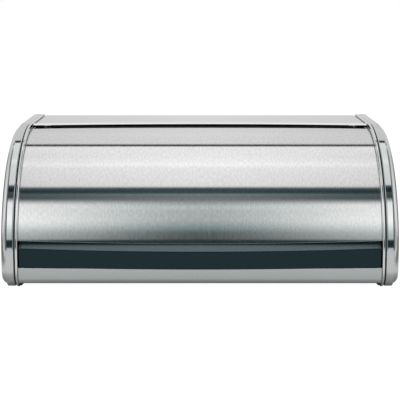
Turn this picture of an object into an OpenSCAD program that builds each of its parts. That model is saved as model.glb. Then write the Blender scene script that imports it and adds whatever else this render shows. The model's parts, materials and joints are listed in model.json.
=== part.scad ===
// Bread box with a roll top: two capped ends, a flat top, a tray and a curved sheet door
// that rolls back under the top on a circular track.
// X runs along the width, the front faces -Y, and Z = 0 is the surface it stands on.

/* [Overall size] */
// Width over the two end caps
body_w = 458; // [430:1:490]
// Depth of the end caps, front to back
body_d = 263; // [258:1:270]
// Height from the standing surface to the top of the end rims
body_h = 177; // [174:1:182]
// Height of the end rims above the standing surface
foot_gap = 2; // [1.5:0.5:3]

/* [Side profile] */
// Radius of the large front curve, at the rim
curve_r = 147; // [145:1:149]
// Radius of the lower front corner
front_corner_r = 20; // [18:1:22]
// Radius of the two rear corners
back_corner_r = 11; // [11:1:14]

/* [End caps] */
// Width of the trim rim beside the opening
rim_w = 2.7; // [2.5:0.1:3.5]
// Height of the rim, measured inwards from the outline
rim_t = 4.4; // [4.2:0.1:4.8]
// Width of the dark groove between the rim and the band, and thickness of the end plate
groove_w = 1.5; // [1.2:0.1:2]
// Width of the flat polished band
band_w = 9.3; // [8:0.1:10]
// Inset of the band from the rim outline
band_inset = 0.6; // [0.4:0.1:1]
// Thickness of the band
band_t = 2.6; // [2:0.1:3]
// Radius of the rolled edge of the outer shell
shell_edge_r = 6.5; // [5:0.5:8]
// Height of the raised field on the side of the shell
shell_field_h = 1.5; // [1:0.5:2]

/* [Sheet metal] */
// Thickness of the steel sheet
sheet_t = 0.8; // [0.6:0.1:0.9]
// Gap between a panel and the end rims
panel_gap = 0.7; // [0.5:0.1:1]
// Distance of the top surface below the top of the rims
top_drop = 2.8; // [2.6:0.1:3.2]
// Width of the raised bead along the front edge of the top
bead_w = 2.4; // [2:0.1:3]
// Height of that bead from its lower edge to its crown
bead_h = 2.4; // [2:0.1:2.6]
// How far the front edge of the top bows back in the middle
top_bow = 13; // [8:1:16]
// Height of the tray sheet above the standing surface
tray_z = 8.5; // [8.5:0.5:10]
// Height of the top edge of the front sill
sill_z = 27.9; // [25.9:0.2:27.9]

/* [Roll door] */
// How far the door surface lies inside the rim outline
door_inset = 6; // [6:0.1:6.4]
// Thickness of the door sheet
door_t = 0.7; // [0.5:0.1:0.8]
// Angle of the lower edge of the door sheet at its ends, up from the front
door_low_a = 11.3; // [10.5:0.1:12]
// Angle of the rear edge of the door sheet
door_rear_a = 94.5; // [93:0.5:95]
// How much lower the door's lower edge is in the middle
edge_bow = 3.5; // [1:0.5:5]
// Opening travel of the door, in degrees
door_travel = 47; // [40:1:47]

/* [Handle] */
// How far the middle of the handle stands in front of the end rims
handle_proud = 5; // [4:0.5:6]
// How far the handle bows forward from its ends to its middle
handle_bow = 6.5; // [4:0.5:8]
// Height of the lower edge of the handle at its ends
handle_z = 28.5; // [28.5:0.1:29]
// How much lower that edge is in the middle
handle_low_bow = 1.3; // [0.3:0.1:1.3]
// Height of the ledge where it meets the door
ledge_z = 53.2; // [52:0.2:54]
// Slope of the ledge, in degrees
ledge_slope = 20; // [15:1:24]
// Gap between the handle and each end rim
handle_gap = 1.7; // [1.2:0.1:2.5]
// Wall thickness of the handle
handle_t = 2.5; // [2:0.1:3]

/* [Hidden] */

steel = [0.80, 0.81, 0.81];
polished = [0.88, 0.89, 0.90];
dark_plastic = [0.12, 0.17, 0.18];
black_plastic = [0.05, 0.05, 0.06];
nylon = [0.75, 0.75, 0.72];
rubber = [0.09, 0.09, 0.09];
zinc = [0.66, 0.67, 0.70];

$fn = 48;
big_fn = 240;
bow_fn = 2880;
shell_fn = 120;
shell_corner_fn = 28;

// Outline: the handle is the foremost point, and the box is centred on Y = 0
back_y = (body_d + handle_proud) / 2;
front_y = back_y - body_d;
handle_y = front_y - handle_proud;

// Centre of the large front curve, which is also the door's axis
arc_y = front_y + curve_r;
arc_z = body_h - curve_r;

// Stations across one end, from the opening outwards
half_w = body_w / 2;
shell_x1 = half_w - shell_field_h;
band_x1 = shell_x1 - shell_edge_r;
band_x0 = band_x1 - band_w;
plate_x0 = band_x0 - groove_w;
rim_x0 = plate_x0 - rim_w;
panel_x = rim_x0 - panel_gap;
shell_inset = band_inset + band_t;
field_inset = 18;
field_slope_w = 3;
plate_inset = 2;

// Heights, and the outer face of the back
top_z = body_h - top_drop;
tray_top_z = tray_z + 2 * sheet_t;
tab_h = 10;
bead_low_z = top_z - sheet_t;
top_flange_h = 14;
skin_y = back_y - 1;

// Front edge of the top in the middle, behind the top of the door's arc
lip_y = arc_y + 12;

// Door and track
door_r = curve_r - door_inset;
door_inner_r = door_r - door_t;
wall_gap = 0.1;
track_outer_r = curve_r - rim_t;
track_inner_r = door_r - 2.5;
track_rib_t = 1.8;
track_low_a = -2.5;
track_outer_a = 85;
track_end_a = 145;
track_gap = 0.4;
runner_a0 = 3;
runner_a1 = 91.5;
runner_end_x = plate_x0 - 0.3;
runner_start_x = rim_x0 + 0.7;
door_x = runner_end_x - 0.2;
stop_gap_a = 0.3;
strip_lap_a = 2.4;

// Handle and its fixings
handle_x = rim_x0 - handle_gap;
handle_wall_r = door_inner_r - wall_gap;
handle_low_a = -1;
handle_top_a = 17;
stud_a = 14.6;
stud_r = 2;
stud_count = 6;
stud_pitch = 72;
clamp_t = 1;
nut_h = 3.5;

// Screws and feet
screw_r = 1.5;
screw_head_r = 3;
screw_head_h = 2;
end_screw_depth = 8;
hole_gap = 0.08;
boss_r = 4;
boss_depth = 6;
foot_r = 9;
foot_x = half_w - 44;
foot_front_y = front_y + 56;
foot_rear_y = back_y - 26;

// Where the end screws sit, in Y and Z, inside the track
end_screw_places = [[-85, 35], [-52, 100], [18, 138], [90, 122], [105, 35], [15, 45]];
// Where the panel tabs are screwed: top, back (three), tray (three) and sill
panel_screw_places = [
    [back_y - 28, top_z - 7], [back_y - 8, top_z - 25], [back_y - 8, 90], [back_y - 8, 32],
    [back_y - 24, 17], [20, 17], [front_y + 48, 17], [front_y + 10.5, 18.5]
];

// Radius of an arc with half chord h and rise s
function bow_radius(h, s) = (h * h + s * s) / (2 * s);

// Lays a shape drawn in Y and Z across the width from x0 to x1
module along_x(x0, x1)
    rotate([90, 0, 90]) translate([0, 0, x0]) linear_extrude(x1 - x0) children();

// Keeps a piece on the right, or mirrors it to the left
module on_side(side) {
    if (side > 0) children();
    else mirror([1, 0, 0]) children();
}

// What is cut off a square corner to round it; sy and sz point to the corner
module corner_cut(centre, r, sy, sz, fn)
    translate(centre) mirror([sy < 0 ? 1 : 0, 0]) mirror([0, sz < 0 ? 1 : 0])
        difference() {
            square(r + 1);
            circle(r = r, $fn = fn);
        }

// Side outline of the box, moved inwards by d
module outline(d, fn = big_fn, corner_fn = 48) {
    low = foot_gap + d;
    difference() {
        translate([front_y + d, low])
            square([body_d - 2 * d, body_h - d - low]);
        corner_cut([arc_y, arc_z], curve_r - d, -1, 1, fn);
        corner_cut([front_y + front_corner_r, foot_gap + front_corner_r],
            front_corner_r - d, -1, -1, corner_fn);
        corner_cut([back_y - back_corner_r, body_h - back_corner_r],
            back_corner_r - d, 1, 1, corner_fn);
        corner_cut([back_y - back_corner_r, foot_gap + back_corner_r],
            back_corner_r - d, 1, -1, corner_fn);
    }
}

// Ring between two insets of the outline
module outline_ring(d0, d1)
    difference() {
        outline(d0);
        outline(d1);
    }

// Part of a ring round the door axis; angles run from the front up over the top
module arc_band(r0, r1, a0, a1)
    translate([arc_y, arc_z]) intersection() {
        difference() {
            circle(r = r1, $fn = big_fn);
            circle(r = r0, $fn = big_fn);
        }
        polygon(concat([[0, 0]],
            [for (i = [0:4]) let (a = a0 + (a1 - a0) * i / 4) 2 * r1 * [-cos(a), sin(a)]]));
    }

// Cylinder along X
module rod_x(x0, x1, r, fn = 32)
    translate([x0, 0, 0]) rotate([0, 90, 0]) cylinder(r = r, h = x1 - x0, $fn = fn);

// Cylinder pointing away from the door axis at angle a, from radius r0 to r1
module rod_radial(a, r0, r1, r, fn = 32)
    translate([0, arc_y, arc_z]) rotate([90 - a, 0, 0])
        translate([0, 0, r0]) cylinder(r = r, h = r1 - r0, $fn = fn);

// Pan head screw along X with its head towards the middle of the box
module screw_x(seat_x, tip_x) {
    rod_x(seat_x - screw_head_h, seat_x, screw_head_r);
    rod_x(seat_x - 0.01, tip_x, screw_r);
}

// Solid shape of an end shell, made smaller by t for its hollow
module shell_form(t) {
    steps = 5;
    edge = shell_edge_r - t;
    hull() {
        along_x(band_x0 - (t > 0 ? 1 : 0), band_x0 + 0.5) outline(shell_inset + t, shell_fn, shell_corner_fn);
        for (i = [0:steps]) {
            a = 90 * i / steps;
            x = shell_x1 - shell_edge_r + edge * sin(a);
            along_x(x - 0.3, x)
                outline(shell_inset + t + edge * (1 - cos(a)), shell_fn, shell_corner_fn);
        }
    }
    field = shell_inset + field_inset + t;
    root = 1;
    root_w = field_slope_w * (shell_field_h + root) / shell_field_h;
    hull() {
        along_x(shell_x1 - t - root, shell_x1 - t - root + 0.2)
            outline(field - root_w, shell_fn, shell_corner_fn);
        along_x(half_w - t - 0.2, half_w - t) outline(field, shell_fn, shell_corner_fn);
    }
}

module end_shell(side) color(steel) on_side(side)
    difference() {
        shell_form(0);
        shell_form(sheet_t);
    }

module end_band(side) color(polished) on_side(side)
    along_x(band_x0, band_x1) outline_ring(band_inset, shell_inset);

module end_rim(side) color(polished) on_side(side)
    along_x(rim_x0, plate_x0) outline_ring(0, rim_t);

// Plastic end plate with the curved track, screw bosses and a skid along the bottom
module end_plate(side) color(black_plastic) on_side(side)
    difference() {
        union() {
            along_x(plate_x0, band_x0) outline(plate_inset);
            along_x(rim_x0 + 0.1, plate_x0 + 0.1) intersection() {
                union() {
                    arc_band(track_inner_r - track_rib_t, track_inner_r, track_low_a,
                        track_end_a);
                    arc_band(track_outer_r, track_outer_r + track_rib_t, track_outer_a,
                        track_end_a);
                }
                outline(rim_t);
            }
            for (p = panel_screw_places) translate([0, p.x, p.y]) {
                rod_x(panel_x, plate_x0 + 0.1, boss_r);
                rod_x(band_x0 - 0.1, band_x0 + boss_depth, boss_r);
            }
            end_skid();
        }
        for (p = end_screw_places) translate([0, p.x, p.y])
            rod_x(plate_x0 - 1, band_x0 + 1, screw_r + hole_gap);
        for (p = panel_screw_places) translate([0, p.x, p.y])
            rod_x(panel_x - 1, band_x0 + boss_depth - 1, screw_r + hole_gap);
    }

// Skid under the edge of the tray, with its lower inner edge sloped
module end_skid() {
    skid_w = 5.5;
    toe_w = 1.5;
    low = foot_gap + 1;
    under = tray_z + sheet_t;
    sill_room = 25;
    along_x(rim_x0 - 1, plate_x0 + 0.1) intersection() {
        outline(rim_t);
        translate([front_y + sill_room, 0]) square([body_d - sill_room - rim_t, under]);
    }
    difference() {
        intersection() {
            translate([0, back_y - rim_t - 0.1, 0]) rotate([90, 0, 0])
                linear_extrude(body_d - rim_t)
                    polygon([[rim_x0, low], [rim_x0 - toe_w, low],
                        [rim_x0 - skid_w, tray_z - 0.5], [rim_x0 - skid_w, under],
                        [rim_x0, under]]);
            along_x(rim_x0 - skid_w - 1, rim_x0 + 1) outline(1);
        }
        translate([rim_x0 - skid_w - 1, front_y - 1, tray_z])
            cube([skid_w + 2, sill_room, 2 * sheet_t]);
    }
}

// Threaded spacers between the end plate and the side of the shell
module end_spacers(side) color(zinc) on_side(side)
    for (p = end_screw_places) translate([0, p.x, p.y])
        difference() {
            rod_x(band_x0, (in_field(p) ? half_w : shell_x1) - sheet_t, boss_r);
            rod_x(band_x0 - 1, band_x0 + end_screw_depth + 1, screw_r + hole_gap);
        }

// True where a place lies on the raised field of the shell
function in_field(p) = p.x > front_y + 30;

module end_screws(side) color(zinc) on_side(side)
    for (p = end_screw_places) translate([0, p.x, p.y])
        screw_x(plate_x0, band_x0 + end_screw_depth);

// Upright or hanging end tabs of a panel, drawn in Y and Z
module end_tabs()
    for (side = [-1, 1]) on_side(side) along_x(panel_x - sheet_t, panel_x) children();

// Holes for the panel screws through all end tabs
module tab_holes()
    for (side = [-1, 1], p = panel_screw_places) on_side(side)
        translate([0, p.x, p.y]) rod_x(panel_x - 2, panel_x + 1, screw_r + hole_gap);

module panel_screws(side) color(zinc) on_side(side)
    for (p = panel_screw_places) translate([0, p.x, p.y])
        screw_x(panel_x - sheet_t, band_x0 + 4);

// Flat top with a raised front bead, a rounded rear edge and two hanging tabs
module top_plate() color(steel) {
    bend_r = 3;
    start_y = arc_y - 12;
    bead_reach = 60;
    bend_y = skin_y - sheet_t - bend_r;
    bend_z = top_z - sheet_t - bend_r;
    low = top_z - top_flange_h;
    difference() {
        union() {
            difference() {
                along_x(-panel_x, panel_x) difference() {
                    translate([start_y, low]) square([skin_y - start_y, top_flange_h]);
                    translate([start_y - 1, low - 1])
                        square([bend_y - start_y + 1, top_flange_h + 1 - sheet_t]);
                    translate([start_y - 1, low - 1])
                        square([skin_y - sheet_t - start_y + 1,
                            top_flange_h + 1 - sheet_t - bend_r]);
                    translate([bend_y, bend_z]) circle(r = bend_r);
                    corner_cut([bend_y, bend_z], bend_r + sheet_t, 1, 1, 48);
                }
                before_lip(bead_w / 2);
            }
            difference() {
                translate([-panel_x, start_y, bead_low_z])
                    cube([2 * panel_x, bead_reach, bead_h]);
                before_lip(0);
                difference() {
                    translate([-panel_x - 1, start_y - 1, bead_low_z - 1])
                        cube([2 * panel_x + 2, bead_reach + 2, bead_h + 2]);
                    before_lip(bead_w);
                }
            }
            end_tabs() translate([back_y - 38, top_z - 13]) square([24, 12.8]);
        }
        tab_holes();
    }
}

// The space in front of the bowed front edge of the top, up to d behind that edge
module before_lip(d) {
    r = bow_radius(panel_x, top_bow);
    translate([0, lip_y - r, top_z - 20]) cylinder(r = r + d, h = 40, $fn = bow_fn);
}

// Hat section that stiffens the top plate near the back
module top_stiffener() color(steel)
    along_x(-panel_x + 12, panel_x - 12) {
        y0 = back_y - 52;
        under = top_z - sheet_t;
        depth = 9;
        hat_w = 18;
        brim = 8;
        for (y = [y0, y0 + brim + hat_w]) translate([y, under - sheet_t])
            square([brim, sheet_t]);
        for (y = [y0 + brim - sheet_t, y0 + brim + hat_w]) translate([y, under - depth])
            square([sheet_t, depth]);
        translate([y0 + brim - sheet_t, under - depth - sheet_t])
            square([hat_w + 2 * sheet_t, sheet_t + 0.01]);
    }

// Back panel with a row of air holes and forward tabs at both ends
module back_panel() color(steel) {
    low = tray_z + sheet_t;
    tab_w = 14;
    air_hole_r = 2.5;
    air_hole_pitch = 14;
    difference() {
        union() {
            translate([-panel_x, skin_y - sheet_t, low])
                cube([2 * panel_x, sheet_t, top_z - top_flange_h - 0.3 - low]);
            for (z = [[20, 82], [top_z - 31, 16]])
                end_tabs() translate([skin_y - tab_w, z[0]]) square([tab_w, z[1]]);
        }
        for (i = [-5:5]) translate([i * air_hole_pitch, back_y - 5, top_z - 40])
            rotate([-90, 0, 0]) cylinder(r = air_hole_r, h = 10, $fn = 32);
        tab_holes();
    }
}

// Flat tray with upright end tabs and holes for the feet
module tray_panel() color(steel)
    difference() {
        union() {
            translate([-panel_x, front_y + 8, tray_z + sheet_t])
                cube([2 * panel_x, body_d - 9 - sheet_t, sheet_t]);
            for (y = [back_y - 24, 20, front_y + 48])
                end_tabs() translate([y - 8, tray_z + sheet_t]) square([16, tab_h + sheet_t]);
        }
        tab_holes();
        for (x = [-foot_x, foot_x], y = [foot_front_y, foot_rear_y])
            translate([x, y, 0]) cylinder(r = stud_r + hole_gap, h = 20);
    }

// Front sill: hemmed top edge, plain face, rounded foot and a flange under the tray
module front_sill() color(steel) {
    face_y = front_y + 1.3;
    flange_d = 22;
    bend = 6;
    hem_r = 1;
    difference() {
        union() {
            along_x(-panel_x, panel_x) {
                translate([face_y + hem_r, sill_z - hem_r]) circle(r = hem_r);
                difference() {
                    translate([face_y, tray_z]) square([flange_d, sill_z - hem_r - tray_z]);
                    translate([face_y + sheet_t, tray_z + bend]) square([flange_d, sill_z]);
                    translate([face_y + bend, tray_z + sheet_t]) square([flange_d, sill_z]);
                    translate([face_y + bend, tray_z + bend]) circle(r = bend - sheet_t);
                    corner_cut([face_y + bend, tray_z + bend], bend, -1, -1, 48);
                }
            }
            end_tabs() translate([face_y + 0.1, tray_z + 5]) square([13, 8]);
        }
        tab_holes();
    }
}

// Rubber foot with a recess for its screw
module foot(sx, y) color(rubber)
    translate([sx * foot_x, y, 0]) difference() {
        cylinder(r1 = foot_r - 1, r2 = foot_r, h = tray_z + sheet_t);
        translate([0, 0, -1]) cylinder(r = 4.5, h = 5);
        cylinder(r = stud_r + hole_gap, h = 20);
    }

module at_feet()
    for (x = [-foot_x, foot_x], y = [foot_front_y, foot_rear_y])
        translate([x, y, 0]) children();

module foot_screws() color(zinc)
    at_feet() {
        translate([0, 0, 1.5]) cylinder(r = 3.8, h = 2.5);
        translate([0, 0, 3.9]) cylinder(r = stud_r, h = tray_top_z);
    }

module foot_nuts() color(zinc)
    at_feet() translate([0, 0, tray_top_z]) difference() {
        cylinder(r = 4, h = 3, $fn = 6);
        translate([0, 0, -1]) cylinder(r = stud_r + 0.02, h = 5);
    }

// Rubber block at the foot of the track, which the closed door rests above
module closing_bumper(side) color(rubber) on_side(side)
    along_x(rim_x0 + 0.4, plate_x0)
        arc_band(track_inner_r, track_outer_r - wall_gap, -1, runner_a0 - stop_gap_a);

// Rubber block at the rear end of the track, which stops the opening door
module opening_stop(side) color(rubber) on_side(side)
    along_x(rim_x0 + 0.4, plate_x0) intersection() {
        arc_band(track_inner_r, track_outer_r,
            runner_a1 + door_travel + stop_gap_a, track_end_a - 0.5);
        outline(rim_t + wall_gap);
    }

// Curved door sheet with a bowed lower edge; behind the runners it is narrower
module door_sheet() color(steel) {
    low_z = arc_z + door_r * sin(door_low_a) - edge_bow;
    edge_r = bow_radius(rim_x0, edge_bow);
    intersection() {
        along_x(-door_x, door_x)
            arc_band(door_inner_r, door_r, door_low_a - 4, door_rear_a);
        translate([0, 0, low_z + edge_r]) rotate([90, 0, 0])
            cylinder(r = edge_r, h = 3 * body_d, center = true, $fn = bow_fn);
        union() {
            along_x(-door_x, door_x)
                arc_band(door_inner_r - 1, door_r + 1, 0, runner_a1 - stop_gap_a);
            along_x(-panel_x, panel_x)
                arc_band(door_inner_r - 1, door_r + 1, 80, door_rear_a);
        }
    }
}

// Section of the handle in front of the door, made smaller by t for its hollow
module handle_front(t) {
    root_y = arc_y - sqrt(pow(handle_wall_r - 1, 2) - pow(ledge_z - arc_z, 2));
    lead_y = handle_y - 10;
    low = handle_z - 2 - t;
    drop = tan(ledge_slope);
    polygon([
        [root_y, low],
        [root_y, ledge_z - t],
        [lead_y, ledge_z - t - (root_y - lead_y) * drop],
        [lead_y, low]
    ]);
}

// Room above the handle's lower edge, which is at handle_z at its ends and lower in between
module above_low_edge() {
    steps = 12;
    rotate([90, 0, 0]) linear_extrude(height = 3 * body_d, center = true)
        polygon([
            for (i = [-steps:steps])
                [handle_x * i / steps, handle_z - handle_low_bow * (1 - pow(i / steps, 2))],
            [handle_x, body_h],
            [-handle_x, body_h]
        ]);
}

// Room inside the bowed front face of the handle, t behind the face
module handle_plan(t) {
    r = bow_radius(handle_x, handle_bow);
    translate([0, handle_y + r, 0]) cylinder(r = r - t, h = body_h, $fn = bow_fn);
}

// Handle: a rear wall behind the door edge, a sloping ledge and a bowed front wall,
// open underneath as a finger grip
module door_handle() color(dark_plastic)
    difference() {
        union() {
            along_x(-handle_x, handle_x)
                arc_band(handle_wall_r - handle_t, handle_wall_r, handle_low_a, handle_top_a);
            difference() {
                intersection() {
                    along_x(-handle_x, handle_x) handle_front(0);
                    handle_plan(0);
                    above_low_edge();
                }
                intersection() {
                    along_x(-handle_x + handle_t, handle_x - handle_t) handle_front(handle_t);
                    handle_plan(handle_t);
                }
            }
        }
        at_studs() rod_radial(stud_a, door_inner_r - 10, door_inner_r, stud_r + hole_gap);
    }

module at_studs()
    for (i = [0:stud_count - 1])
        translate([(i - (stud_count - 1) / 2) * stud_pitch, 0, 0]) children();

// Steel strip that spreads the nuts behind the handle's rear wall
module handle_clamp_strip() color(zinc) {
    outer = handle_wall_r - handle_t;
    difference() {
        along_x(-handle_x + 4, handle_x - 4)
            arc_band(outer - clamp_t, outer, handle_top_a - 5, handle_top_a - 0.2);
        at_studs() rod_radial(stud_a, outer - 10, outer + 1, stud_r + hole_gap);
    }
}

// Studs welded to the inside of the door sheet
module handle_studs() color(zinc)
    at_studs() rod_radial(stud_a, handle_wall_r - handle_t - clamp_t - nut_h - 1,
        door_inner_r, stud_r);

module handle_nuts() color(zinc) {
    seat = handle_wall_r - handle_t - clamp_t;
    at_studs() difference() {
        rod_radial(stud_a, seat - nut_h, seat - 0.05, 4, 6);
        rod_radial(stud_a, seat - nut_h - 1, seat + 1, stud_r + 0.02);
    }
}

// Nylon runner that grips the end of the sheet and slides in the track
module door_runner(side) color(nylon) on_side(side)
    difference() {
        along_x(runner_start_x, runner_end_x)
            arc_band(track_inner_r + track_gap, track_outer_r - track_gap,
                runner_a0, runner_a1);
        along_x(runner_start_x - 1, door_x)
            arc_band(door_inner_r - 0.02, door_r + 0.02, door_low_a - 6, runner_a1 + 1);
    }

// Dark edging over the rear edge of the sheet
module door_rear_strip() color(black_plastic)
    difference() {
        along_x(-panel_x + 1, panel_x - 1)
            arc_band(door_inner_r - 1, door_r + 0.7,
                door_rear_a - strip_lap_a, door_rear_a + 1);
        along_x(-door_x, door_x)
            arc_band(door_inner_r - 0.02, door_r + 0.02, 80, door_rear_a);
    }

end_shell(-1);  // end_shell_left
end_shell(1);  // end_shell_right
end_band(-1);  // end_band_left
end_band(1);  // end_band_right
end_rim(-1);  // end_rim_left
end_rim(1);  // end_rim_right
end_plate(-1);  // end_plate_left
end_plate(1);  // end_plate_right
end_spacers(-1);  // end_spacers_left
end_spacers(1);  // end_spacers_right
end_screws(-1);  // end_screws_left
end_screws(1);  // end_screws_right
top_plate();
top_stiffener();
back_panel();
tray_panel();
front_sill();
panel_screws(-1);  // panel_screws_left
panel_screws(1);  // panel_screws_right
foot(-1, foot_front_y);  // foot_front_left
foot(1, foot_front_y);  // foot_front_right
foot(-1, foot_rear_y);  // foot_rear_left
foot(1, foot_rear_y);  // foot_rear_right
foot_screws();
foot_nuts();
closing_bumper(-1);  // closing_bumper_left
closing_bumper(1);  // closing_bumper_right
opening_stop(-1);  // opening_stop_left
opening_stop(1);  // opening_stop_right
door_sheet();
door_handle();
handle_clamp_strip();
handle_studs();
handle_nuts();
door_runner(-1);  // door_runner_left
door_runner(1);  // door_runner_right
door_rear_strip();
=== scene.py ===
"""Looks of a bread box with a roll top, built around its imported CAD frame.

The box stands on z = 0 with its front towards -Y. The curved door turns about the joint's axis,
which is also the centre of the large front curve of the end caps.
"""
import json
import math

import bmesh
import bpy
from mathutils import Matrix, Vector


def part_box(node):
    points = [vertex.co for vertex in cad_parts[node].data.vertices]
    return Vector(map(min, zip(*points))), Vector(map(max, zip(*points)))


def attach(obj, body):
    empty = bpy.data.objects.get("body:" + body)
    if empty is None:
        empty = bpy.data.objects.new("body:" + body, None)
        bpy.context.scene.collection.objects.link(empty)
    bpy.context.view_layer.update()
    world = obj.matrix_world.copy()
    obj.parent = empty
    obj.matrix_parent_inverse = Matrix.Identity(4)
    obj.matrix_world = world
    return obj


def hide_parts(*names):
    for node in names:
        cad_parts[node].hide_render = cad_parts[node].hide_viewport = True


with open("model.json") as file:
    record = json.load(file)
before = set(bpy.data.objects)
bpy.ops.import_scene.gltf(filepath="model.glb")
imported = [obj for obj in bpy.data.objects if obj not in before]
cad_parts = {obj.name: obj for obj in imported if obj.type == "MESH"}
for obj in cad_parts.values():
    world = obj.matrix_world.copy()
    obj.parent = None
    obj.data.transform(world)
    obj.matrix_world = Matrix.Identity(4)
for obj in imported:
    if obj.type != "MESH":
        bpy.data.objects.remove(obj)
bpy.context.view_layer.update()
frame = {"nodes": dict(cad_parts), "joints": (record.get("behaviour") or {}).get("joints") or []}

MM = 0.001

# ---------------------------------------------------------------- sizes, from the frame

rim_low, rim_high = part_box("end_rim_right")
band_low, band_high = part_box("end_band_right")
_, shell_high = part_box("end_shell_right")
door_low, door_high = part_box("door_sheet")
handle_low, handle_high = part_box("door_handle")
_, plate_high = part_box("top_plate")
sill_low, sill_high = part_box("front_sill")

_, axis_y, axis_z = frame["joints"][0]["pos_m"]
front_y, back_y = rim_low.y, rim_high.y
foot_z, top_z = rim_low.z, rim_high.z
curve_r = axis_y - front_y
door_r = door_high.z - axis_z

# Sizes that the frame's boxes don't give
FRONT_CORNER = 20 * MM
BACK_CORNER = 11 * MM
RIM_HEIGHT = 4.4 * MM
BAND_INSET = 0.6 * MM
BAND_T = 2.6 * MM
BAND_INNER_R = 1.5 * MM
BAND_OUTER_R = 0.4 * MM
BAND_CHAMFER = 1.5 * MM
CHAMFER_DROP = 0.24 * MM
RIM_INNER_R = 0.3 * MM
RIM_OUTER_R = 0.7 * MM
RIM_CHAMFER = 1.1 * MM
RIM_DROP = 0.58 * MM
EDGE_START = 14
FIELD_H = 1.5 * MM
FIELD_SLOPE = 3 * MM
FIELD_INSET = 18 * MM
SHEET = 0.8 * MM
DOOR_T = 0.7 * MM
DOOR_EDGE_BOW = 3.5 * MM
DOOR_REAR_ANGLE = math.radians(94.5)
DOOR_NARROW_ANGLE = math.radians(91)
PANEL_GAP = 0.7 * MM
TOP_BOW = 13 * MM
TAB_T = 0.8 * MM
LEDGE_Z = 53.2 * MM
LEDGE_SLOPE = math.radians(20)
HANDLE_BOW = 6.5 * MM
HANDLE_WALL = 2.5 * MM
HANDLE_BOTTOM = 28.5 * MM
HANDLE_LOW_BOW = 1.3 * MM
LIP_H = 2.4 * MM
TOP_SURFACE = plate_high.z - LIP_H + SHEET
HANDLE_LOW_ANGLE = math.radians(-1)
HANDLE_TOP_ANGLE = math.radians(17)
SHARP_ANGLE = math.radians(35)

# The camera: how far ahead of the box's front and above the floor, and how far it looks down
CAMERA_AHEAD = 1213.8 * MM
CAMERA_HEIGHT = 333.8 * MM
CAMERA_PITCH = 10.6
CAMERA_LENS = 99

# ---------------------------------------------------------------- mesh helpers


def bow_radius(half, rise):
    """Radius of an arc with half chord `half` and rise `rise`."""
    return (half * half + rise * rise) / (2 * rise)


def bow(x, half, rise):
    """How far an arc with that half chord and rise has fallen back at x from its crown."""
    r = bow_radius(half, rise)
    return r - math.sqrt(r * r - x * x)


def arc(cy, cz, r, start, end, steps):
    """Points of an arc in the YZ plane; angles in degrees, 0 along +Y and 90 along +Z."""
    points = []
    for i in range(steps + 1):
        a = math.radians(start + (end - start) * i / steps)
        points.append((cy + r * math.cos(a), cz + r * math.sin(a)))
    return points


def spread(a, b, steps):
    """Points from a to b in equal steps, without either end."""
    return [tuple(a[k] + (b[k] - a[k]) * i / steps for k in range(2)) for i in range(1, steps)]


def outline(inset):
    """Closed side outline of the box, moved inwards by inset (up to 26 mm), always with the same number
    of points."""
    fr = max(FRONT_CORNER - inset, 1.5 * MM)
    br = max(BACK_CORNER - inset, 1.5 * MM)
    y0, y1 = front_y + inset, back_y - inset
    z0, z1 = foot_z + inset, top_z - inset
    corners = [
        arc(y0 + fr, z0 + fr, fr, 270, 180, 14),
        arc(axis_y, axis_z, curve_r - inset, 180, 90, 72),
        arc(y1 - br, z1 - br, br, 90, 0, 12),
        arc(y1 - br, z0 + br, br, 0, -90, 12),
    ]
    points = []
    for k, run in enumerate(corners):
        points += run
        points += spread(run[-1], corners[(k + 1) % 4][0], 4)
    return points


def rounded_section(x0, x1, d0, d1, r0, r1, steps=6):
    """Closed section of a bar: x across it, d inwards from the outline; r0 and r1 round its outer edges."""
    points = []
    for cx, r, start in ((x0 + r0, r0, 180), (x1 - r1, r1, 270)):
        for i in range(steps + 1):
            a = math.radians(start + 90 * i / steps)
            points.append((cx + r * math.cos(a), d0 + r + r * math.sin(a)))
        if start == 180 and x1 - r1 > x0 + r0 + 0.1 * MM:
            points += [(x0 + r0 + (x1 - r1 - x0 - r0) * t, d0) for t in (0.1, 0.5, 0.9)]
    points += [(x1, d1 - 0.2 * MM), (x1 - 0.2 * MM, d1), (x0 + 0.2 * MM, d1), (x0, d1 - 0.2 * MM)]
    return points


def lattice(bm, grid, wrap_rows, wrap_columns, uv=None):
    """Adds quads over a grid of points and returns its rows of vertices. uv[i][j] is in metres."""
    layer = bm.loops.layers.uv.verify()
    rows = [[bm.verts.new(p) for p in row] for row in grid]
    n, m = len(rows), len(rows[0])
    for i in range(n if wrap_rows else n - 1):
        for j in range(m if wrap_columns else m - 1):
            i2, j2 = (i + 1) % n, (j + 1) % m
            corners = [(i, j), (i2, j), (i2, j2), (i, j2)]
            face = bm.faces.new([rows[a][b] for a, b in corners])
            if uv:
                for loop, (a, b) in zip(face.loops, corners):
                    u, v = uv(a if a or not (wrap_rows and i == n - 1) else n,
                              b if b or not (wrap_columns and j == m - 1) else m)
                    loop[layer].uv = (u, v)
    return rows


def cap(bm, row):
    """Closes a loop of vertices with one face, with UVs from its Z and Y."""
    layer = bm.loops.layers.uv.verify()
    face = bm.faces.new(row)
    for loop in face.loops:
        loop[layer].uv = (loop.vert.co.z, loop.vert.co.y)


def lengths(points):
    """Running length along a closed list of points, with the full length last."""
    total, run = 0.0, [0.0]
    for i, p in enumerate(points):
        q = points[(i + 1) % len(points)]
        total += math.dist(p, q)
        run.append(total)
    return run


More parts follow.
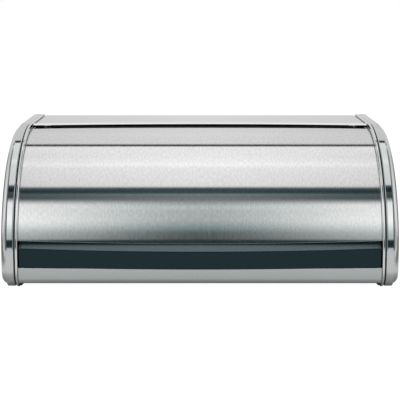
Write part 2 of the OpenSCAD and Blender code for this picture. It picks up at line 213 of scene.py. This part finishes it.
def add_box(bm, low, high, bevel=0.25 * MM):
    """Adds a small box with rounded edges."""
    made = bmesh.ops.create_cube(bm, size=1)
    for v in made["verts"]:
        v.co = Vector(low[k] + (v.co[k] + 0.5) * (high[k] - low[k]) for k in range(3))
    edges = list({e for v in made["verts"] for e in v.link_edges})
    rounded = bmesh.ops.bevel(bm, geom=edges, offset=bevel, segments=2, affect="EDGES")
    layer = bm.loops.layers.uv.verify()
    for face in {f for v in rounded["verts"] for f in v.link_faces}:
        for loop in face.loops:
            x, y, z = loop.vert.co
            loop[layer].uv = (x + y, z + y)


def finish_mesh(name, bm, material, body, node):
    """Turns a bmesh into a named piece that replaces its CAD node."""
    bmesh.ops.recalc_face_normals(bm, faces=bm.faces)
    for face in bm.faces:
        face.smooth = True
    for edge in bm.edges:
        edge.smooth = not (len(edge.link_faces) == 2
                           and edge.calc_face_angle(0) > SHARP_ANGLE)
    mesh = bpy.data.meshes.new(name)
    bm.to_mesh(mesh)
    bm.free()
    mesh.uv_layers[0].name = "UVMap"
    mesh.materials.append(material)
    piece = bpy.data.objects.new(name, mesh)
    bpy.context.scene.collection.objects.link(piece)
    normals = piece.modifiers.new("even_normals", "WEIGHTED_NORMAL")
    normals.keep_sharp = True
    normals.weight = 50
    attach(piece, body)
    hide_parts(node)
    return piece


# ---------------------------------------------------------------- material helpers


class Nodes:
    """Short way to build a node tree."""

    def __init__(self, tree):
        self.tree = tree
        tree.nodes.clear()

    def add(self, kind, inputs=None, **settings):
        node = self.tree.nodes.new(kind)
        for key, value in settings.items():
            setattr(node, key, value)
        for key, value in (inputs or {}).items():
            if isinstance(value, bpy.types.NodeSocket):
                self.tree.links.new(value, node.inputs[key])
            else:
                node.inputs[key].default_value = value
        return node

    def math(self, operation, a, b=0.0):
        return self.add("ShaderNodeMath", {0: a, 1: b}, operation=operation).outputs[0]

    def ramp(self, factor, stops):
        """stops is [(position, (r, g, b))]."""
        node = self.add("ShaderNodeValToRGB", {"Fac": factor})
        elements = node.color_ramp.elements
        while len(elements) > 1:
            elements.remove(elements[-1])
        for k, (position, color) in enumerate(stops):
            element = elements[0] if k == 0 else elements.new(position)
            element.position = position
            element.color = (*color, 1)
        return node.outputs["Color"]

    def mix_color(self, factor, a, b):
        node = self.add("ShaderNodeMix", {0: factor, 6: a, 7: b}, data_type="RGBA",
                        clamp_factor=False)
        return node.outputs[2]

    def noise(self, vector, scale, stretch=(1, 1, 1), detail=3):
        mapped = self.add("ShaderNodeMapping", {"Vector": vector, "Scale": stretch})
        node = self.add("ShaderNodeTexNoise", {"Vector": mapped.outputs[0], "Scale": scale,
                                               "Detail": detail, "Roughness": 0.6})
        return node.outputs["Fac"]

    def remap(self, value, low, high, to_low, to_high):
        node = self.add("ShaderNodeMapRange", {"Value": value, "From Min": low, "From Max": high,
                                               "To Min": to_low, "To Max": to_high})
        return node.outputs[0]


def new_material(name):
    material = bpy.data.materials.new(name)
    material.use_nodes = True
    return material, Nodes(material.node_tree)


def brushed_steel(name, color, rough, anisotropic, streak=1.0, uv=True, grain_axis=1, speckle=0.0):
    """Stainless steel with a fine grain. With uv, the grain runs along V; else along an object axis.
    speckle is how strongly short marks change the brightness."""
    material, n = new_material(name)
    coords = n.add("ShaderNodeTexCoord")
    if uv:
        vector = coords.outputs["UV"]
        fine, broad = (1, 0.012, 1), (1, 0.05, 1)
    else:
        vector = coords.outputs["Object"]
        fine = tuple(0.012 if k == grain_axis else 1 for k in range(3))
        broad = tuple(0.05 if k == grain_axis else 1 for k in range(3))
    hair = n.noise(vector, 2600, fine, detail=2)
    band = n.noise(vector, 420, broad, detail=3)
    cloud = n.noise(vector, 34, (1, 1, 1), detail=2)
    grain = n.math("ADD", n.math("MULTIPLY", hair, 0.6), n.math("MULTIPLY", band, 0.4))
    tint = n.remap(grain, 0.3, 0.7, 1 - 0.09 * streak, 1 + 0.09 * streak)
    tint = n.math("MULTIPLY", tint, n.remap(cloud, 0.3, 0.7, 0.99, 1.01))
    if speckle:
        marks = n.noise(vector, 520, (1, 0.4, 1), detail=1)
        tint = n.math("MULTIPLY", tint, n.remap(marks, 0.3, 0.7, 1 - speckle, 1 + speckle))
    base = n.mix_color(tint, (0, 0, 0, 1), (*color, 1))
    bump = n.add("ShaderNodeBump", {"Height": grain, "Strength": 0.10 * streak,
                                    "Distance": 0.04 * MM})
    shader = n.add("ShaderNodeBsdfPrincipled", {
        "Base Color": base, "Metallic": 1.0,
        "Roughness": n.remap(band, 0.3, 0.7, rough * 0.93, rough * 1.07),
        "Normal": bump.outputs[0], "Anisotropic": anisotropic})
    if uv:
        tangent = n.add("ShaderNodeTangent", direction_type="UV_MAP", uv_map="UVMap")
        n.tree.links.new(tangent.outputs[0], shader.inputs["Tangent"])
    out = n.add("ShaderNodeOutputMaterial")
    n.tree.links.new(shader.outputs[0], out.inputs[0])
    return material


def moulded_plastic(name, color, rough, specular, texture_scale=900, bump=0.12):
    """Injection-moulded plastic with a fine eroded texture."""
    material, n = new_material(name)
    coords = n.add("ShaderNodeTexCoord")
    grit = n.noise(coords.outputs["Object"], texture_scale, detail=2)
    cloud = n.noise(coords.outputs["Object"], 25, detail=2)
    tone = n.mix_color(cloud, (*[c * 0.9 for c in color], 1), (*[c * 1.1 for c in color], 1))
    relief = n.add("ShaderNodeBump", {"Height": grit, "Strength": bump, "Distance": 0.03 * MM})
    shader = n.add("ShaderNodeBsdfPrincipled", {
        "Base Color": tone, "Metallic": 0.0,
        "Roughness": n.remap(grit, 0.3, 0.7, rough * 0.92, rough * 1.08),
        "Normal": relief.outputs[0], "Specular IOR Level": specular})
    out = n.add("ShaderNodeOutputMaterial")
    n.tree.links.new(shader.outputs[0], out.inputs[0])
    return material


def handle_resin():
    """Blue-black plastic with a glossy face. Painted light: the ledge's upward-facing surface is coloured
    paler than the face. Painted shade: the rear wall above the ledge, in the gap under the door's edge, is
    coloured near black.
    """
    material, n = new_material("handle_plastic")
    coords = n.add("ShaderNodeTexCoord")
    place = n.add("ShaderNodeSeparateXYZ", {0: coords.outputs["Object"]})
    facing = n.add("ShaderNodeSeparateXYZ", {0: coords.outputs["Normal"]})
    grit = n.noise(coords.outputs["Object"], 900, detail=2)
    # painted light: surfaces facing upward (the ledge) get a paler colour than the face
    painted_ledge_light = n.remap(facing.outputs["Z"], 0.55, 0.9, 0, 1)
    # painted shade: everything above the ledge, in the gap under the door's edge, is coloured near black
    painted_gap_shade = n.remap(place.outputs["Z"], LEDGE_Z + 0.4 * MM, LEDGE_Z + 0.9 * MM, 0, 1)
    ledge = n.mix_color(painted_ledge_light, (0.0008, 0.0014, 0.0018, 1), (0.110, 0.146, 0.155, 1))
    tone = n.mix_color(painted_gap_shade, ledge, (0.0004, 0.0005, 0.0005, 1))
    relief = n.add("ShaderNodeBump", {"Height": grit, "Strength": 0.05, "Distance": 0.02 * MM})
    shader = n.add("ShaderNodeBsdfPrincipled", {
        "Base Color": tone, "Metallic": 0.0, "Roughness": n.remap(grit, 0.3, 0.7, 0.25, 0.31),
        "Normal": relief.outputs[0], "Specular IOR Level": 0.5,
        "Specular Tint": (0.46, 0.85, 1.0, 1)})
    out = n.add("ShaderNodeOutputMaterial")
    n.tree.links.new(shader.outputs[0], out.inputs[0])
    return material


# ---------------------------------------------------------------- materials

door_steel = brushed_steel("door_steel", (0.60, 0.605, 0.60), 0.11, 0.85, streak=0.3,
                           speckle=0.06)
top_steel = brushed_steel("top_steel", (0.60, 0.605, 0.60), 0.12, 0.85, streak=0.3)
shell_steel = brushed_steel("shell_steel", (0.60, 0.61, 0.61), 0.14, 0.3, streak=0.2)
band_steel = brushed_steel("band_steel", (0.55, 0.565, 0.565), 0.06, 0.3, streak=0.1)
rim_steel = brushed_steel("rim_steel", (0.66, 0.68, 0.68), 0.09, 0.3, streak=0.1)
sill_steel = brushed_steel("sill_steel", (0.488, 0.512, 0.51), 0.22, 0.5, streak=0.4)
panel_steel = brushed_steel("panel_steel", (0.56, 0.57, 0.57), 0.30, 0.0, uv=False, grain_axis=0)
handle_plastic = handle_resin()
black_plastic = moulded_plastic("black_plastic", (0.006, 0.007, 0.008), 0.45, 0.35)
runner_nylon = moulded_plastic("runner_nylon", (0.55, 0.55, 0.51), 0.42, 0.45)
rubber_black = moulded_plastic("rubber_black", (0.012, 0.012, 0.012), 0.7, 0.3, 600, 0.3)
zinc = brushed_steel("zinc_hardware", (0.58, 0.60, 0.63), 0.28, 0.0, 0.4, uv=False, grain_axis=2)

# ---------------------------------------------------------------- end caps


def ring(name, side, section, material, node, open_section=False):
    """Sweeps a section (x, inset) all round the side outline. An open section ends in two flat faces."""
    bm = bmesh.new()
    grid, run = [], lengths(outline(0))
    loops = [outline(d) for _, d in section]
    across = [0.0]
    for a, b in zip(section, section[1:] + section[:1]):
        across.append(across[-1] + math.dist(a, b))
    for i in range(len(loops[0])):
        grid.append([(side * x, loops[j][i][0], loops[j][i][1]) for j, (x, _) in enumerate(section)])
    rows = lattice(bm, grid, True, not open_section, lambda i, j: (across[j], run[i]))
    if open_section:
        for j in (0, len(section) - 1):
            cap(bm, [row[j] for row in rows])
        layer = bm.loops.layers.uv.verify()
        bm.normal_update()
        for face in bm.faces:
            if abs(face.normal.x) > 0.8:
                for loop in face.loops:
                    loop[layer].uv = (loop.vert.co.z, loop.vert.co.y)
    return finish_mesh(name, bm, material, "box", node)


def rim_section():
    """Section of a rim: chamfered beside the opening and rounded beside the groove."""
    points = rounded_section(rim_low.x, rim_high.x, 0, RIM_HEIGHT, RIM_INNER_R, RIM_OUTER_R)
    bevel_x = rim_low.x + RIM_CHAMFER
    low = [(x, d + RIM_DROP * max(bevel_x - x, 0) / RIM_CHAMFER if d < RIM_HEIGHT / 2 else d)
           for x, d in points]
    last = max(k for k, (x, d) in enumerate(low[:len(low) // 2]) if x < bevel_x)
    return low[:last + 1] + [(bevel_x, 0)] + low[last + 1:]


def band_section():
    """Section of a band: flat, rounded beside the groove and chamfered beside the shell."""
    points = rounded_section(band_low.x, band_high.x, BAND_INSET, BAND_INSET + BAND_T,
                             BAND_INNER_R, BAND_OUTER_R)
    bevel_x = band_high.x - BAND_CHAMFER
    low = []
    for x, d in points:
        if x > bevel_x:
            d = min(d + CHAMFER_DROP * (x - bevel_x) / BAND_CHAMFER, BAND_INSET + BAND_T)
        low.append((x, d))
    first = next(k for k, (x, d) in enumerate(low) if x > bevel_x)
    return low[:first] + [(bevel_x - 0.05 * MM, BAND_INSET), (bevel_x, BAND_INSET)] + low[first:]


def shell_section():
    """Section of an end shell: from its flat inner side, out over the edge, to its flat outer side."""
    flange_x, edge_x, side_x, out_x = band_low.x, band_high.x, shell_high.x - FIELD_H, shell_high.x
    d0 = BAND_INSET + BAND_T
    field = d0 + FIELD_INSET
    flat = field + 4 * MM
    steps = 10

    def skin(t):
        """Skin t inside the outer face, from the flange to the flat of the side."""
        points = [(flange_x, d0 + t)]
        start = math.radians(EDGE_START)
        edge_r = (side_x - edge_x) / (1 - math.sin(start))
        for i in range(steps + 1):
            a = start + (math.pi / 2 - start) * i / steps
            points.append((side_x - edge_r + (edge_r - t) * math.sin(a),
                           d0 + edge_r * math.cos(start) - (edge_r - t) * math.cos(a)))
        slope = [(0, -FIELD_SLOPE - 1 * MM), (0, -FIELD_SLOPE - 0.4 * MM), (0.12, -FIELD_SLOPE + 0.3 * MM),
                 (0.88, -0.3 * MM), (1, 0.4 * MM), (1, 1 * MM)]
        for rise, shift in slope:
            points.append((side_x - t + FIELD_H * rise, field + shift))
        points += [(out_x - t, field + 2.5 * MM), (out_x - t, flat)]
        return points

    outer, inner = skin(0), skin(SHEET)
    return inner[::-1] + outer


for side, tag in ((-1, "left"), (1, "right")):
    ring(f"rim_{tag}", side, rim_section(), rim_steel, f"end_rim_{tag}")
    ring(f"band_{tag}", side, band_section(), band_steel, f"end_band_{tag}")
    ring(f"shell_{tag}", side, shell_section(), shell_steel, f"end_shell_{tag}",
         open_section=True)

# ---------------------------------------------------------------- door


def on_arc(r, angle):
    """Point in YZ at radius r from the door's axis, angle up from the front."""
    return axis_y - r * math.cos(angle), axis_z + r * math.sin(angle)


def door_skin():
    """Curved sheet with a bowed, rounded lower edge; narrower behind the runners."""
    half = door_high.x
    narrow = (rim_low.x - PANEL_GAP) / half
    tail = DOOR_NARROW_ANGLE + math.radians(0.1)
    columns, rows = 60, 110
    r0, r1 = door_r - DOOR_T, door_r
    grid = []
    for i in range(columns + 1):
        x = -half + 2 * half * i / columns
        low_z = door_low.z + bow(x, rim_low.x, DOOR_EDGE_BOW)
        low = math.asin((low_z - axis_z) / r1)
        edge = 0.25 * MM / r1
        first = low + edge
        outer = [first, first + 0.5 * edge, first + 2 * edge]
        outer += [first + (DOOR_NARROW_ANGLE - first) * j / rows for j in range(1, rows + 1)]
        outer += [tail + (DOOR_REAR_ANGLE - tail) * j / 4 for j in range(5)]
        places = [(x * narrow if a > DOOR_NARROW_ANGLE else x, a) for a in outer]
        section = [(px, *on_arc(r1, a)) for px, a in places]
        section += [(px, *on_arc(r0, a)) for px, a in reversed(places)]
        section += [(x, *on_arc(r0 + 0.12 * MM, low + edge * 0.3)),
                    (x, *on_arc((r0 + r1) / 2, low)),
                    (x, *on_arc(r1 - 0.12 * MM, low + edge * 0.3))]
        grid.append(section)
    run = lengths([(p[1], p[2]) for p in grid[0]])
    bm = bmesh.new()
    verts = lattice(bm, grid, False, True, lambda i, j: (2 * half * i / columns, run[j]))
    cap(bm, verts[0])
    cap(bm, verts[-1])
    return finish_mesh("door_skin", bm, door_steel, "roll_door", "door_sheet")


def fillet(corner, before, after, r, steps=5):
    """Rounds a corner of a polyline in YZ with radius r."""
    c = Vector(corner)
    a = (Vector(before) - c).normalized()
    b = (Vector(after) - c).normalized()
    half = a.angle(b) / 2
    reach = r / math.tan(half)
    centre = c + (a + b).normalized() * (r / math.sin(half))
    start, end = c + a * reach - centre, c + b * reach - centre
    turn = math.atan2(start.x * end.y - start.y * end.x, start.dot(end))
    points = []
    for i in range(steps + 1):
        angle = turn * i / steps
        points.append((centre.x + start.x * math.cos(angle) - start.y * math.sin(angle),
                       centre.y + start.x * math.sin(angle) + start.y * math.cos(angle)))
    return points


def handle_section(x, solid=False):
    """Closed YZ section of the handle at x: rear wall, ledge, front wall; open underneath unless solid."""
    half = handle_high.x
    wall_r = door_r - DOOR_T - 0.1 * MM
    face_y = handle_low.y + bow(x, half, HANDLE_BOW)
    bottom = HANDLE_BOTTOM - HANDLE_LOW_BOW * (1 - (x / half) ** 2)
    low_angle, top_angle = HANDLE_LOW_ANGLE, HANDLE_TOP_ANGLE
    root_angle = math.asin((LEDGE_Z - axis_z) / wall_r)
    root = on_arc(wall_r, root_angle)
    drop = math.tan(LEDGE_SLOPE)
    ridge = (face_y, root[1] - (root[0] - face_y) * drop)
    toe = (face_y, bottom)
    points = [on_arc(wall_r, top_angle + (root_angle - top_angle) * i / 8) for i in range(8)]
    points += fillet(root, on_arc(wall_r, root_angle + 0.1), ridge, 0.8 * MM, 4)
    points += fillet(ridge, root, toe, 1.6 * MM, 8)
    points += [(face_y, ridge[1] - (ridge[1] - bottom) * t) for t in (0.35, 0.6, 0.85)]
    inner_y = face_y + HANDLE_WALL
    if solid:
        points += fillet(toe, ridge, (root[0], bottom), 1.0 * MM, 6)
        points += [(inner_y, bottom), (root[0] - 1 * MM, bottom)]
    else:
        toe_in = (inner_y, bottom)
        under_z = ridge[1] - HANDLE_WALL * 1.1
        points += fillet(toe, ridge, toe_in, 1.0 * MM, 6)
        points += fillet(toe_in, toe, (inner_y, bottom + 9 * MM), 0.8 * MM, 4)
        top_in = (inner_y, under_z + HANDLE_WALL * drop)
        root_in_z = LEDGE_Z - HANDLE_WALL * 1.15
        in_angle = math.asin((root_in_z - axis_z) / wall_r)
        root_in = on_arc(wall_r, in_angle)
        points += fillet(top_in, toe_in, root_in, 1.2 * MM, 4)
        points += fillet(root_in, top_in, on_arc(wall_r, in_angle - 0.05), 0.8 * MM, 4)
        points += [on_arc(wall_r, in_angle - 0.01 + (low_angle - in_angle) * t) for t in (0.3, 0.6, 0.9)]
    points += [on_arc(wall_r - 0.2 * MM, low_angle), on_arc(wall_r - HANDLE_WALL + 0.2 * MM, low_angle)]
    inner_r = wall_r - HANDLE_WALL
    points += [on_arc(inner_r, low_angle + 0.002 + (top_angle - low_angle - 0.004) * i / 12)
               for i in range(13)]
    points += [on_arc(inner_r + 0.3 * MM, top_angle), on_arc(wall_r - 0.3 * MM, top_angle)]
    return points


def handle_moulding():
    half = handle_high.x
    wall = HANDLE_WALL
    bm = bmesh.new()
    columns = 48
    xs = [-(half - 0.5 * wall) + (2 * half - wall) * i / columns for i in range(columns + 1)]
    grid = [[(x, y, z) for y, z in handle_section(x)] for x in xs]
    run = lengths([(p[1], p[2]) for p in grid[columns // 2]])
    verts = lattice(bm, grid, False, True, lambda i, j: (xs[i], run[j]))
    cap(bm, verts[0])
    cap(bm, verts[-1])
    for side in (-1, 1):
        steps = [(half - wall, 0.0), (half - 0.5 * MM, 0.0), (half - 0.15 * MM, 0.15 * MM), (half, 0.5 * MM)]
        loops = []
        for x, shrink in steps:
            section = handle_section(x, solid=True)
            cy = sum(p[0] for p in section) / len(section)
            cz = sum(p[1] for p in section) / len(section)
            loops.append([(side * x, y + (cy - y) * shrink / (8 * MM), z + (cz - z) * shrink / (14 * MM))
                          for y, z in section])
        rows = lattice(bm, loops, False, True, lambda i, j: (0, 0))
        cap(bm, rows[0])
        cap(bm, rows[-1])
    return finish_mesh("handle_moulding", bm, handle_plastic, "roll_door", "door_handle")


door_skin()
handle_moulding()

# ---------------------------------------------------------------- top plate and sill


def top_sheet():
    """Flat top: a raised, bevelled lip along its bowed front edge and a rounded bend down at the back."""
    half = plate_high.x
    top = TOP_SURFACE
    skin_y = plate_high.y
    bend = 3 * MM + SHEET
    low = top - 14 * MM
    lip_mid = axis_y + 12 * MM
    columns = 48
    xs = [-half + 2 * half * i / columns for i in range(columns + 1)]
    grid = []
    for x in xs:
        lip = lip_mid - bow(x, half, TOP_BOW)
        corners = [(lip + 3 * MM, top - SHEET), (lip, top - SHEET), (lip + 2.6 * MM, top + 1.55 * MM),
                   (lip + 3.3 * MM, top + 1.4 * MM), (lip + 3.9 * MM, top), (lip + 9 * MM, top)]
        section = []
        for k, r in ((1, 0.2), (2, 0.5), (3, 0.5), (4, 0.3)):
            section += fillet(corners[k], corners[k - 1], corners[k + 1], r * MM, 4)
        edge = section[-1][0]
        bend_y = skin_y - bend
        section += [(edge + (bend_y - edge) * t, top) for t in (0.01, 0.03, 0.1, 0.3, 0.6, 0.9)]
        section += arc(bend_y, top - bend, bend, 90, 0, 8)
        section += [(skin_y, low + 1 * MM), (skin_y, low), (skin_y - SHEET, low)]
        section += arc(bend_y, top - bend, bend - SHEET, 0, 90, 8)
        section += [(edge + (bend_y - edge) * t, top - SHEET) for t in (0.9, 0.6, 0.3, 0.1, 0.03)]
        grid.append([(x, y, z) for y, z in section])
    run = lengths([(p[1], p[2]) for p in grid[columns // 2]])
    bm = bmesh.new()
    verts = lattice(bm, grid, False, True, lambda i, j: (xs[i], run[j]))
    cap(bm, verts[0])
    cap(bm, verts[-1])
    for side in (-1, 1):
        xa, xb = sorted((side * (half - TAB_T), side * half))
        add_box(bm, (xa, back_y - 38 * MM, top - 13 * MM), (xb, back_y - 14 * MM, top - 0.3 * MM))
    return finish_mesh("top_sheet", bm, top_steel, "box", "top_plate")


def sill_strip():
    """Front sill: rolled top hem, flat face, rounded foot and a flange under the tray."""
    half = sill_high.x
    skin_y = sill_low.y
    low = sill_low.z
    hem = 1 * MM
    bend = 6 * MM
    section = arc(skin_y + hem, sill_high.z - hem, hem, 180, -60, 12)
    section += [(skin_y + SHEET, sill_high.z - 2.6 * MM), (skin_y + SHEET, low + bend + 2 * MM)]
    section += arc(skin_y + bend, low + bend, bend - SHEET, 180, 270, 8)
    section += [(skin_y + 22 * MM, low + SHEET), (skin_y + 22 * MM, low)]
    section += arc(skin_y + bend, low + bend, bend, 270, 180, 12)
    section += [(skin_y, low + bend + 2 * MM), (skin_y, sill_high.z - 2.6 * MM)]
    columns = 24
    xs = [-half + 2 * half * i / columns for i in range(columns + 1)]
    grid = [[(x, y, z) for y, z in section] for x in xs]
    run = lengths(section)
    bm = bmesh.new()
    verts = lattice(bm, grid, False, True, lambda i, j: (run[j], xs[i]))
    cap(bm, verts[0])
    cap(bm, verts[-1])
    for side in (-1, 1):
        xa, xb = sorted((side * (half - TAB_T), side * half))
        add_box(bm, (xa, skin_y + 0.3 * MM, low + 5 * MM), (xb, skin_y + 13 * MM, low + 13 * MM))
    return finish_mesh("sill_strip", bm, sill_steel, "box", "front_sill")


top_sheet()
sill_strip()

# ---------------------------------------------------------------- carried-over CAD nodes

CAD_LOOKS = {
    "end_plate": black_plastic, "end_spacers": zinc, "end_screws": zinc, "panel_screws": zinc,
    "top_stiffener": panel_steel, "back_panel": panel_steel, "tray_panel": panel_steel,
    "foot_front": rubber_black, "foot_rear": rubber_black, "foot_screws": zinc, "foot_nuts": zinc,
    "closing_bumper": rubber_black, "opening_stop": rubber_black,
    "handle_clamp_strip": zinc, "handle_studs": zinc, "handle_nuts": zinc,
    "door_runner": runner_nylon, "door_rear_strip": black_plastic,
}
for node_name, node in frame["nodes"].items():
    for start, look in CAD_LOOKS.items():
        if node_name.startswith(start):
            node.data.materials.clear()
            node.data.materials.append(look)

# ---------------------------------------------------------------- studio


def studio_world():
    """Banded studio seen only in reflections; the camera's own rays see plain white. It varies with the
    angle about X, from the rear horizon (0 degrees) over the top to the front horizon (180), and with
    how far it is to the side. The stops are (angle, light or colour), set for this box: the
    middle of the front and a gap beside it are dim, with lit panels above and between."""
    world = bpy.data.worlds.new("studio")
    bpy.context.scene.world = world
    world.use_nodes = True
    n = Nodes(world.node_tree)
    direction = n.add("ShaderNodeTexCoord").outputs["Generated"]
    xyz = n.add("ShaderNodeSeparateXYZ", {0: direction})
    turn = n.remap(n.math("ARCTAN2", xyz.outputs["Z"], xyz.outputs["Y"]), 0, math.pi, 0, 180)
    away = n.math("ABSOLUTE", xyz.outputs["X"])
    middle = [
        (0, 0.80), (12, 0.82), (24, 0.93), (36, 1.05), (57.3, 1.05), (57.9, 0.04), (61.2, 0.04),
        (61.8, 1.40), (65, 1.30), (77, 1.35), (84, 1.42), (88.6, 1.54), (93, 1.32), (113.5, 1.20),
        (115.0, 1.06), (116.3, 0.10), (119, (0.04, 0.085, 0.095)), (122.6, (0.08, 0.14, 0.145)),
        (123.3, 0.42),
        (124.1, 0.36), (124.7, 0.27), (130, 0.32), (137, 0.66), (141, 0.50), (149, 0.46), (156, 0.24),
        (162, 0.02), (169.8, 0.03), (176.4, 0.09), (177.0, 0.25), (180, 0.80),
    ]
    side = [
        (12, 0.74), (24, 0.80), (36, 0.90), (57.3, 0.93), (57.9, 0.04), (61.2, 0.04), (61.8, 1.22),
        (77, 1.14), (84, 1.20), (88.6, 1.34), (93, 1.17), (113.5, 1.08), (115.0, 0.98), (116.5, 0.15),
        (119, (0.012, 0.035, 0.045)), (122.6, (0.012, 0.04, 0.05)), (123.3, (0.10, 0.14, 0.15)),
        (124.1, (0.08, 0.11, 0.12)), (128.4, (0.05, 0.08, 0.085)), (130, 0.40), (132, 0.92), (134, 1.40),
        (138, 1.46), (150, 1.62), (153.5, 1.54), (160, 1.10), (164, 0.84), (168.6, 0.72),
        (169.6, (0.015, 0.045, 0.05)), (176.4, (0.015, 0.045, 0.05)), (177.0, 0.80), (180, 0.85),
    ]
    panels = []
    for stops in (middle, side):
        colors = []
        for a, c in stops:
            cool = 0.10 if 122 < a < 155 else 0.40 * (a > 155)
            blue = cool if stops is middle else 0.05 * (a > 155)
            colors.append((a / 180, c if isinstance(c, tuple)
                           else (c * (1 - blue), c * (1 + 0.3 * blue), c * (1 + 0.4 * blue))))
        panels.append(n.ramp(n.math("DIVIDE", turn, 180.0), colors))
    front = n.mix_color(n.remap(away, 0.015, 0.17, 0, 1), panels[0], panels[1])
    wing = n.remap(turn, 60, 100, 0.85, 1.15)
    wing = n.math("MULTIPLY", wing, n.remap(turn, 135, 158, 1, 0.55))
    behind = n.math("MULTIPLY", n.remap(away, 0.6, 0.68, 0, 1), n.remap(away, 0.93, 0.97, 1, 0))
    behind = n.math("MULTIPLY", behind, n.remap(turn, 24, 32, 1, 0))
    wing = n.math("MULTIPLY", wing, n.remap(behind, 0, 1, 1, 0.15))
    wing = n.add("ShaderNodeCombineColor", {0: wing, 1: wing, 2: wing})
    wide = n.mix_color(n.remap(away, 0.3, 0.6, 0, 1), front, wing.outputs[0])
    gap_from = n.remap(turn, 116, 130, 0.19, 0.23)
    gap_to = n.remap(turn, 100, 155, 0.55, 0.62)
    gap = n.math("MULTIPLY",
                 n.remap(away, gap_from, n.math("ADD", gap_from, 0.07), 0, 1),
                 n.remap(away, gap_to, n.math("ADD", gap_to, 0.08), 1, 0))
    gap = n.math("MULTIPLY", gap, n.remap(turn, 62, 70, 0, 1))
    gap_light = n.remap(turn, 95, 130, 0.30, 0.12)
    gap_light = n.add("ShaderNodeCombineColor", {0: gap_light, 1: gap_light, 2: gap_light})
    seen = n.mix_color(gap, wide, gap_light.outputs[0])
    lit = n.add("ShaderNodeBackground", {"Color": seen, "Strength": 1.0})
    plain = n.add("ShaderNodeBackground", {"Color": (1, 1, 1, 1), "Strength": 1.0})
    is_camera = n.add("ShaderNodeLightPath").outputs["Is Camera Ray"]
    both = n.add("ShaderNodeMixShader", {0: is_camera, 1: lit.outputs[0], 2: plain.outputs[0]})
    out = n.add("ShaderNodeOutputWorld")
    n.tree.links.new(both.outputs[0], out.inputs[0])


def pale_floor():
    """Floor that the camera sees almost white, with hardly any shadow. Reflections see a darker floor,
    with painted shade close to the box's front, back and sides, that fades into the dark to the sides."""
    bm = bmesh.new()
    bmesh.ops.create_grid(bm, x_segments=8, y_segments=8, size=20)
    mesh = bpy.data.meshes.new("floor")
    bm.to_mesh(mesh)
    bm.free()
    floor = bpy.data.objects.new("floor", mesh)
    bpy.context.scene.collection.objects.link(floor)
    material, n = new_material("floor_paper")
    place = n.add("ShaderNodeTexCoord").outputs["Object"]
    xyz = n.add("ShaderNodeSeparateXYZ", {0: place})
    aside = n.remap(n.math("ABSOLUTE", xyz.outputs["X"]), 0.32, 0.40, 0, 1)
    aside = n.math("MULTIPLY", aside, n.remap(xyz.outputs["Y"], 0.55, 0.70, 1, 0))
    aside = n.math("MULTIPLY", aside, n.remap(xyz.outputs["Y"], -0.35, -0.20, 0, 1))
    # painted shade: for reflections the floor's glow is lowered in front of and under the box's front edge,
    # and behind and beside the box
    ahead = n.math("SUBTRACT", front_y, xyz.outputs["Y"])
    glow_with_painted_shade = n.math("ADD", n.remap(ahead, -0.02, 0.0, 0.03, 0.26), n.remap(ahead, 0.0, 0.09, 0, 0.42))
    glow_with_painted_shade = n.math("MAXIMUM", glow_with_painted_shade, n.remap(ahead, -0.10, -0.05, 0.35, 0))
    painted_shade_behind_box = n.remap(xyz.outputs["Y"], back_y, back_y + 0.1, 0, 0.6)
    glow_with_painted_shade = n.math("MAXIMUM", glow_with_painted_shade, painted_shade_behind_box)
    painted_shade_beside_box = n.remap(n.math("ABSOLUTE", xyz.outputs["X"]), rim_high.x, rim_high.x + 0.1, 0, 0.6)
    glow_with_painted_shade = n.math("MAXIMUM", glow_with_painted_shade, painted_shade_beside_box)
    glow_with_painted_shade = n.math("MULTIPLY", glow_with_painted_shade, n.remap(aside, 0, 1, 1, 0.12))
    is_camera = n.add("ShaderNodeLightPath").outputs["Is Camera Ray"]
    strength = n.add("ShaderNodeMix", {0: is_camera, 2: glow_with_painted_shade, 3: 0.98}, data_type="FLOAT").outputs[0]
    speck = n.noise(place, 60, detail=2)
    tone = n.remap(speck, 0.3, 0.7, 0.24, 0.26)
    tint = n.add("ShaderNodeCombineColor", {0: tone, 1: tone, 2: tone})
    shader = n.add("ShaderNodeBsdfPrincipled", {"Base Color": tint.outputs[0], "Roughness": 0.8,
                                                "Specular IOR Level": 0.1,
                                                "Emission Color": (1, 1, 1, 1),
                                                "Emission Strength": strength})
    see_through = n.add("ShaderNodeBsdfTransparent")
    behind = n.add("ShaderNodeNewGeometry").outputs["Backfacing"]
    both = n.add("ShaderNodeMixShader", {0: behind, 1: shader.outputs[0], 2: see_through.outputs[0]})
    out = n.add("ShaderNodeOutputMaterial")
    n.tree.links.new(both.outputs[0], out.inputs[0])
    mesh.materials.append(material)


def camera():
    data = bpy.data.cameras.new("camera")
    data.lens = CAMERA_LENS
    data.sensor_width = 36
    data.clip_end = 100
    cam = bpy.data.objects.new("camera", data)
    cam.location = (0, front_y - CAMERA_AHEAD, CAMERA_HEIGHT)
    cam.rotation_euler = (math.radians(90 - CAMERA_PITCH), 0, 0)
    bpy.context.scene.collection.objects.link(cam)
    bpy.context.scene.camera = cam


studio_world()
pale_floor()
camera()
bpy.context.scene.view_settings.view_transform = "Standard"
